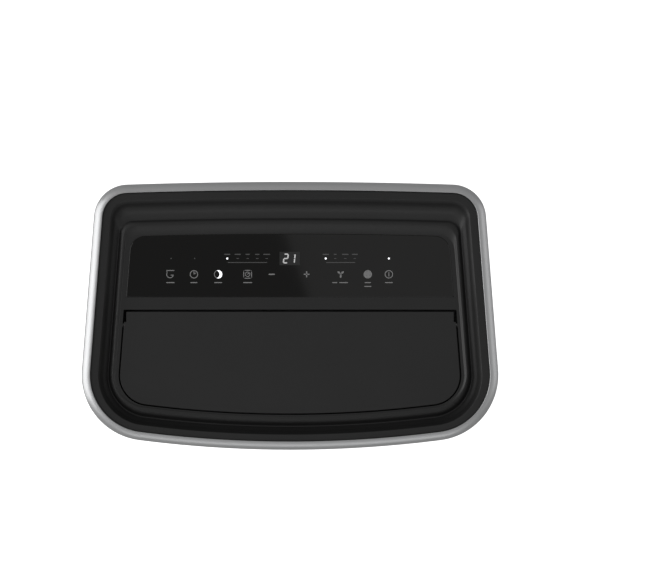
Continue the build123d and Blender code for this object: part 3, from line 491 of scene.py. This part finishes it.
# ---- Dark bezel: ledge, trough, raised crest and the deck that holds the panel and the flap --
# side, back and front insets, depth below the rim at the back edge and at the front edge, back
# and front corner radii. The trough deepens and the crest drops towards the front.
BEZEL_STATIONS = [
    (10.5, 10.8, 10.5, 4.0, 4.0, 30.2, 68.5),
    (10.6, 10.9, 10.6, 3.3, 3.3, 30.1, 68.4),
    (11.2, 11.5, 11.2, 3.0, 3.0, 29.5, 67.8),
    (15.0, 15.2, 14.5, 3.0, 3.0, 26, 64.5),
    (19.2, 19.2, 17.7, 3.1, 3.1, 21.8, 61),
    (20.2, 20.4, 18.7, 3.6, 3.8, 20.9, 59.9),
    (22.0, 23.0, 20.0, 5.7, 7.1, 20, 58),
    (23.7, 25.5, 21.4, 8.4, 11.2, 18.9, 56.4),
    (25.5, 28.6, 22.8, 11.1, 15.3, 18, 55),
    (28.8, 34.2, 25.6, 14.4, 20.4, 17, 52.7),
    (30.6, 40.2, 27.2, 16.1, 23.0, 16.1, 51.3),
    (31.3, 42.6, 28.0, 16.5, 23.4, 16, 50.6),
    (32.2, 43.8, 29.2, 16.2, 22.9, 16, 49.6),
    (34.0, 45.6, 32.0, 15.0, 20.2, 16.2, 47),
    (35.9, 47.5, 35.6, 14.2, 18.6, 17.2, 44),
    (37.2, 49.2, 38.4, 14.0, 18.0, 18, 41.4),
    (38.2, 51.6, 39.6, 14.7, 18.1, 18.3, 40.2),
    (39.5, 57.0, 40.4, 17.1, 18.4, 18.8, 39.1),
    (40.5, 60.6, 40.9, 18.4, 18.5, 19, 38.3),
    (41.2, 61.6, 41.2, 18.5, 18.5, 19.2, 37.8),
]
TOUCH_WINDOW = [(170, 88), (170, 32), (-170, 32), (-170, 88)]


def make_bezel():
    bm = bmesh.new()
    deck = TOP - BEZEL_STATIONS[-1][3]
    rim = BEZEL_STATIONS[0]
    rim_foot = loop_verts(bm, raise_to(inset_outline(*rim[:3], *rim[5:]), BEZEL_BOTTOM))
    loops = [rim_foot]
    for row in smooth_stations(BEZEL_STATIONS, 4):
        side, back, front, back_drop, front_drop, back_radius, front_radius = row
        plan = inset_outline(side, back, front, back_radius, front_radius)
        loops.append(loop_verts(bm, slope_to(plan, TOP - back_drop, TOP - front_drop)))
    skin(bm, loops)
    seat = deck - PANEL_THICK
    panel_top = loop_verts(bm, raise_to(PANEL_HOLE, deck))
    panel_seat = loop_verts(bm, raise_to(PANEL_HOLE, seat))
    skin(bm, [panel_top, panel_seat])
    outlet_top = loop_verts(bm, raise_to(OUTLET_HOLE, deck))
    outlet_foot = loop_verts(bm, raise_to(OUTLET_HOLE, BEZEL_BOTTOM))
    skin(bm, [outlet_top, outlet_foot])
    window_top = loop_verts(bm, raise_to(TOUCH_WINDOW, seat))
    window_foot = loop_verts(bm, raise_to(TOUCH_WINDOW, BEZEL_BOTTOM))
    skin(bm, [window_top, window_foot])
    fill_between(bm, loops[-1], panel_top, outlet_top)
    fill_between(bm, panel_seat, window_top)
    fill_between(bm, rim_foot, outlet_foot, window_foot)
    bezel = to_object(bm, "bezel_shell", FINISHES["bezel_black"])
    soften_edges(bezel, 0.35)
    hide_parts("top_bezel")


make_bezel()


def make_hinge_bosses():
    """The two round bosses that bridge the side gaps at the flap's pivot."""
    bm = bmesh.new()
    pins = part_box("flap_pins")
    middle_y = (pins[0][1] + pins[1][1]) / 2
    radius = 2.75 * MM
    centre_z = GLASS_TOP * MM - radius
    edge = HALF_WIDTH - middle_y / MM * tan(FLARE) - OUTLET_SIDE / cos(FLARE)
    for side in (-1, 1):
        rings = []
        for x, size in ((edge + 3, 1), (edge - 1.0, 1), (edge - 1.4, 0.86)):
            ring = []
            for step in range(20):
                a = side * 2 * pi * step / 20
                y = middle_y + radius * size * cos(a)
                ring.append(bm.verts.new((side * x * MM, y, centre_z + radius * size * sin(a))))
            rings.append(ring)
        skin(bm, rings)
        bm.faces.new(rings[0])
        bm.faces.new(rings[-1])
    to_object(bm, "hinge_bosses", FINISHES["bezel_black"])


make_hinge_bosses()


# ---- Touch panel ----------------------------------------------------------------------------
def make_panel():
    bm = bmesh.new()
    # inset and depth below the panel's face, from its underside over the rounded edge
    rows = [(0.0, PANEL_THICK), (0.0, 0.45), (0.1, 0.15), (0.4, 0.0)]
    loops = []
    for inset, drop in rows:
        plan = outline(
            PANEL_SIDE + inset,
            (HALF_DEPTH - PANEL_BACK - inset, BACK_ARC, PANEL_CORNER - inset),
            (PANEL_FRONT + inset, STRAIGHT, 2 - inset),
        )
        loops.append(loop_verts(bm, raise_to(plan, GLASS_TOP - drop)))
    skin(bm, loops)
    fill_between(bm, loops[0])
    fill_between(bm, loops[-1])
    panel = to_object(bm, "touch_panel", FINISHES["panel_glass"], sharp=20)
    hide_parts("control_glass")


make_panel()

# the span that markings fill above the panel, and those of the holes and digits drawn over them
PRINT_LAYER = (0.02, 0.06)
HOLE_LAYER = (0.065, 0.09)
DIGIT_LAYER = (0.065, 0.1)


class Print:
    """A set of flat markings in one layer above the panel, in millimetres."""

    def __init__(self, layer=PRINT_LAYER):
        self.bm = bmesh.new()
        self.layer = layer

    def patch(self, points):
        """A closed flat shape with a little thickness."""
        low, high = [loop_verts(self.bm, raise_to(points, GLASS_TOP + lift)) for lift in self.layer]
        skin(self.bm, [low, high])
        self.bm.faces.new(low)
        self.bm.faces.new(high)

    def stroke(self, points, width, closed=False):
        """A line of constant width along points, as one short patch per stretch."""
        count = len(points)
        ends = count if closed else count - 1
        for index in range(ends):
            a = Vector(points[index])
            b = Vector(points[(index + 1) % count])
            along = (b - a).normalized()
            across = Vector((-along.y, along.x)) * width / 2
            a = a - along * width * 0.2
            b = b + along * width * 0.2
            self.patch([a + across, b + across, b - across, a - across])

    def disc(self, x, y, radius, count):
        self.patch(arc((x, y), radius, 0, 2 * pi * (1 - 1 / count), count))

    def bar(self, x, y, width, height):
        """A level bar with round ends."""
        r = height / 2
        reach = max(width / 2 - r, 0.01)
        right = arc((x + reach, y), r, -pi / 2, pi / 2, 7)
        left = arc((x - reach, y), r, pi / 2, 3 * pi / 2, 7)
        self.patch(right + left)

    def ring(self, x, y, radius, width, start=0.0, stop=2 * pi, count=28):
        closed = stop - start > 2 * pi - 0.01
        outer = arc((x, y), radius + width / 2, start, stop, count)
        inner = arc((x, y), radius - width / 2, start, stop, count)
        if closed:
            outer.pop()
            inner.pop()
        stretches = len(outer) if closed else len(outer) - 1
        for index in range(stretches):
            after = (index + 1) % len(outer)
            self.patch([inner[index], outer[index], outer[after], inner[after]])

    def finish(self, name, material):
        to_object(self.bm, name, material, sharp=30)


KEY_ROW = 50
LABEL_ROW = 40
LAMP_ROW = 69
KEYS = {
    "swing": -144,
    "timer": -115.6,
    "sleep": -86.5,
    "mode": -51,
    "minus": -22,
    "plus": 20,
    "fan": 61,
    "filter": 93.6,
    "power": 119,
}
LINE = 0.95
CAPTION = 1.1  # height of the strokes that stand for captions
print_grey = glowing("print_grey", grey(0.24), 0.08)
print_dim = glowing("print_dim", grey(0.09), 0.04)
print_bright = glowing("print_bright", grey(0.62), 0.25)
lamp_white = glowing("lamp_white", (0.95, 0.97, 1.0), 1.1)
window_dark = glowing("window_dark", grey(0.022), 0.01)


def draw_keys():
    """Outline symbols on the touch keys."""
    art = Print()
    # swing: an open loop under a level line
    x = KEYS["swing"]
    art.stroke([(x - 4.6, KEY_ROW + 4.6), (x + 4.4, KEY_ROW + 4.6)], LINE)
    art.ring(x - 0.4, KEY_ROW - 0.2, 4.0, LINE, radians(150), radians(345), 20)
    art.stroke([(x - 4.3, KEY_ROW + 4.4), (x - 4.0, KEY_ROW + 1.4)], LINE)
    art.stroke([(x + 0.6, KEY_ROW - 1.0), (x + 3.6, KEY_ROW - 1.0)], LINE)
    # timer: a dial with two hands
    x = KEYS["timer"]
    art.ring(x, KEY_ROW, 4.5, LINE)
    art.stroke([(x, KEY_ROW + 3.4), (x, KEY_ROW), (x + 1.9, KEY_ROW + 1.8)], LINE * 0.9)
    # mode: a rounded square round a small dial
    x = KEYS["mode"]
    half = 4.7
    corners = []
    for step, (sx, sy) in enumerate(((1, 1), (-1, 1), (-1, -1), (1, -1))):
        start = pi / 2 * step
        corners += arc((x + sx * (half - 1.5), KEY_ROW + sy * (half - 1.5)), 1.5, start, start + pi / 2, 6)
    art.stroke(corners, LINE, closed=True)
    art.ring(x, KEY_ROW, 2.7, LINE * 0.8, count=20)
    art.stroke([(x - 0.4, KEY_ROW + 0.2), (x + 2.0, KEY_ROW + 1.2)], LINE * 0.8)
    # minus and plus
    art.bar(KEYS["minus"], KEY_ROW, 7.6, 1.5)
    x = KEYS["plus"]
    art.bar(x, KEY_ROW, 7.2, 1.3)
    art.stroke([(x, KEY_ROW - 3.4), (x, KEY_ROW + 3.4)], 1.4)
    # power: a ring with an upright
    x = KEYS["power"]
    art.ring(x, KEY_ROW, 4.5, LINE)
    art.stroke([(x, KEY_ROW - 2.4), (x, KEY_ROW + 2.4)], LINE)
    art.finish("key_symbols", print_grey)


def draw_filled_keys():
    """The filled symbols: three fan blades round a hub, and the filter's disc."""
    art = Print()
    hub = Vector((KEYS["fan"], KEY_ROW + 0.4))
    for turn in (90 + 52, 90 - 52, 270):
        a = radians(turn)
        along = Vector((cos(a), sin(a)))
        wide = Vector((-sin(a), cos(a)))
        middle = hub + along * 2.6
        tip = hub + along * 4.6
        art.patch([hub, middle + wide * 1.25, tip + wide * 0.7, tip - wide * 0.7, middle - wide * 1.25])
    art.disc(*hub, 1.2, 16)
    art.disc(KEYS["filter"], KEY_ROW, 5.0, 32)
    art.finish("filled_symbols", print_grey)


def draw_filter_holes():
    """A round grid of small holes over the filter's disc."""
    art = Print(HOLE_LAYER)
    pitch = 1.7
    for row in range(-2, 3):
        for column in range(-2, 3):
            if row * row + column * column < 7:
                art.disc(KEYS["filter"] + column * pitch, KEY_ROW + row * pitch, 0.42, 10)
    art.finish("filter_holes", print_dim)


def draw_sleep_key():
    """The lit moon and the outline of its dark side."""
    x = KEYS["sleep"]
    moon = Print()
    points = arc((x, KEY_ROW), 4.9, radians(-110), radians(110), 26)
    points += arc((x - 3.0, KEY_ROW), 4.75, radians(75), radians(-75), 20)
    moon.patch(points)
    moon.finish("sleep_symbol", lamp_white)
    dark_side = Print()
    dark_side.ring(x, KEY_ROW, 4.6, 0.8, radians(110), radians(250), 20)
    dark_side.finish("sleep_outline", print_grey)


def draw_labels():
    """Short level strokes that stand for the captions."""
    art = Print()
    widths = {"swing": 10, "timer": 8.4, "sleep": 9.4, "mode": 10.6, "filter": 7.6, "power": 9.4}
    for key, width in widths.items():
        art.bar(KEYS[key], LABEL_ROW, width, CAPTION)
    art.bar(KEYS["fan"] - 7.2, LABEL_ROW, 6.2, CAPTION)
    art.bar(KEYS["fan"] + 3.6, LABEL_ROW, 10.6, CAPTION)
    art.bar(KEYS["filter"], LABEL_ROW - 4.6, 8.4, CAPTION)
    art.finish("key_captions", print_grey)


MODE_LAMPS = [-75.5, -63, -51, -39.4, -28]
FAN_LAMPS = [43, 54.4, 66.6, 78]


def draw_scales():
    """The two rows of lamps with their captions and the line under each row."""
    dim = Print()
    for lamps in (MODE_LAMPS, FAN_LAMPS):
        dim.bar((lamps[0] + lamps[-1]) / 2 + 0.5, LAMP_ROW - 4.8, lamps[-1] - lamps[0], 0.9)
        for lamp in lamps[1:]:
            dim.bar(lamp, LAMP_ROW, 3.0, 0.8)
    for x in (KEYS["swing"], KEYS["timer"]):
        dim.disc(x + 0.8, LAMP_ROW, 0.8, 12)
    dim.finish("lamp_scales", print_dim)
    captions = Print()
    for lamp, width in zip(MODE_LAMPS + FAN_LAMPS, (7.4, 7.4, 5.2, 5.4, 8.2, 7.6, 3.6, 8.0, 7.0)):
        captions.bar(lamp, LAMP_ROW + 5, width, 1.3)
    captions.finish("lamp_captions", print_dim)
    lit = Print()
    for x in (MODE_LAMPS[0], FAN_LAMPS[0], KEYS["power"]):
        lit.disc(x, LAMP_ROW, 1.15, 20)
    lit.finish("lit_lamps", lamp_white)


def draw_display():
    """The two-digit display, each digit built from bars."""
    window = Print()
    window.patch([(-12.6, 61), (11.8, 61), (11.8, 77), (-12.6, 77)])
    window.finish("display_window", window_dark)
    digits = Print(DIGIT_LAYER)
    height = 12
    width = 6.3
    bar = 1.5
    lean = tan(radians(6))
    lit = {"2": "abged", "1": "bc"}
    bars = {
        "a": ((0, 1), (1, 1)),
        "b": ((1, 0.5), (1, 1)),
        "c": ((1, 0), (1, 0.5)),
        "d": ((0, 0), (1, 0)),
        "e": ((0, 0), (0, 0.5)),
        "g": ((0, 0.5), (1, 0.5)),
    }
    for left, digit in ((-8.2, "2"), (0.1, "1")):
        for name in lit[digit]:
            ends = []
            for u, v in bars[name]:
                y = LAMP_ROW + (v - 0.5) * (height - bar)
                ends.append(Vector((left + u * (width - bar) + (y - LAMP_ROW) * lean + bar / 2, y)))
            along = (ends[1] - ends[0]).normalized()
            across = Vector((-along.y, along.x)) * bar / 2
            a = ends[0] + along * 0.45
            b = ends[1] - along * 0.45
            points = [a - along * 0.2, a + across, b + across, b + along * 0.2, b - across, a - across]
            digits.patch(points)
    digits.finish("display_digits", print_bright)


draw_keys()
draw_filled_keys()
draw_filter_holes()
draw_sleep_key()
draw_labels()
draw_scales()
draw_display()


# ---- Floor, light and camera ----------------------------------------------------------------
def make_floor():
    bm = bmesh.new()
    reach = 40
    corners = ((-reach, -reach), (reach, -reach), (reach, reach), (-reach, reach))
    bm.faces.new([bm.verts.new((x, y, 0)) for x, y in corners])
    mesh = bpy.data.meshes.new("floor")
    bm.to_mesh(mesh)
    bm.free()
    surface = Surface("floor_white", 0.9)
    surface.shader.inputs["Base Color"].default_value = (0.8, 0.8, 0.8, 1)
    surface.shader.inputs["Specular IOR Level"].default_value = 0.0
    surface.shader.inputs["Emission Color"].default_value = (1, 1, 1, 1)
    surface.shader.inputs["Emission Strength"].default_value = 0.92
    mesh.materials.append(surface.material)
    floor = bpy.data.objects.new("floor", mesh)
    bpy.context.scene.collection.objects.link(floor)
    floor.visible_glossy = False


# brightness of the surround by elevation in degrees
SKY = [(-90, 0.28), (-6, 0.26), (6, 0.24), (30, 0.3), (55, 0.39), (76, 0.31), (86, 0.17), (90, 0.16)]


def make_sky():
    """A soft surround, palest partway up and dim straight overhead."""
    world = bpy.data.worlds.new("studio")
    world.use_nodes = True
    bpy.context.scene.world = world
    tree = world.node_tree
    background = tree.nodes["Background"]
    place = tree.nodes.new("ShaderNodeTexCoord")
    axes = tree.nodes.new("ShaderNodeSeparateXYZ")
    ramp = tree.nodes.new("ShaderNodeValToRGB")
    height = tree.nodes.new("ShaderNodeMapRange")
    height.inputs["From Min"].default_value = -1
    stops = ramp.color_ramp.elements
    stops[0].position = 0.0
    stops[0].color = (*grey(SKY[0][1]), 1)
    stops[1].position = 1.0
    stops[1].color = (*grey(SKY[-1][1]), 1)
    for elevation, level in SKY[1:-1]:
        stop = stops.new((sin(radians(elevation)) + 1) / 2)
        stop.color = (*grey(level), 1)
    tree.links.new(place.outputs["Generated"], axes.inputs["Vector"])
    tree.links.new(axes.outputs["Z"], height.inputs["Value"])
    tree.links.new(height.outputs["Result"], ramp.inputs["Fac"])
    tree.links.new(ramp.outputs["Color"], background.inputs["Color"])


LIT_POINT = Vector((0, 0, 0.72))


def area_light(name, location, size, power):
    """A rectangular light that the camera doesn't see, facing straight down until it is turned."""
    light = bpy.data.lights.new(name, "AREA")
    light.shape = "RECTANGLE"
    light.size = size[0]
    light.size_y = size[1]
    light.energy = power
    lamp = bpy.data.objects.new(name, light)
    lamp.location = location
    lamp.visible_camera = False
    bpy.context.scene.collection.objects.link(lamp)
    return lamp


def softbox(name, location, size, power):
    """An area light turned towards the top of the unit."""
    lamp = area_light(name, location, size, power)
    direction = LIT_POINT - Vector(location)
    lamp.rotation_euler = direction.to_track_quat("-Z", "Y").to_euler()


def reflection_card(location, size, turn, power):
    """A dim level card overhead whose straight edge shows as a change of tone in the panel."""
    lamp = area_light("overhead_card", location, size, power)
    lamp.rotation_euler = (0, 0, radians(turn))


def make_camera():
    """Straight above the unit, far enough away that its sides stay hidden under the rim."""
    distance = 6.0
    view_width = 0.7848  # metres across the picture at the height of the rim
    to_the_right = 0.0444  # metres from the unit's middle to the picture's middle
    to_the_rear = 0.0280
    camera = bpy.data.cameras.new("camera")
    camera.sensor_width = 36
    camera.lens = camera.sensor_width * distance / view_width
    camera.shift_x = to_the_right / view_width
    camera.shift_y = to_the_rear / view_width
    camera.clip_end = 100
    holder = bpy.data.objects.new("camera", camera)
    holder.location = (0, 0, TOP * MM + distance)
    bpy.context.scene.collection.objects.link(holder)
    bpy.context.scene.camera = holder


make_floor()
make_sky()
softbox("left_softbox", (-3.0, 0.2, 2.3), (3.2, 3.4), 72)
softbox("front_softbox", (0.0, -2.9, 3.1), (3.0, 1.4), 11)
softbox("right_fill", (3.2, 0.3, 2.2), (2.4, 2.4), 12)
reflection_card((0.293, 0.182, 2.73), (0.6, 0.8), 20, 0.37)
make_camera()

bpy.context.scene.view_settings.view_transform = "Standard"
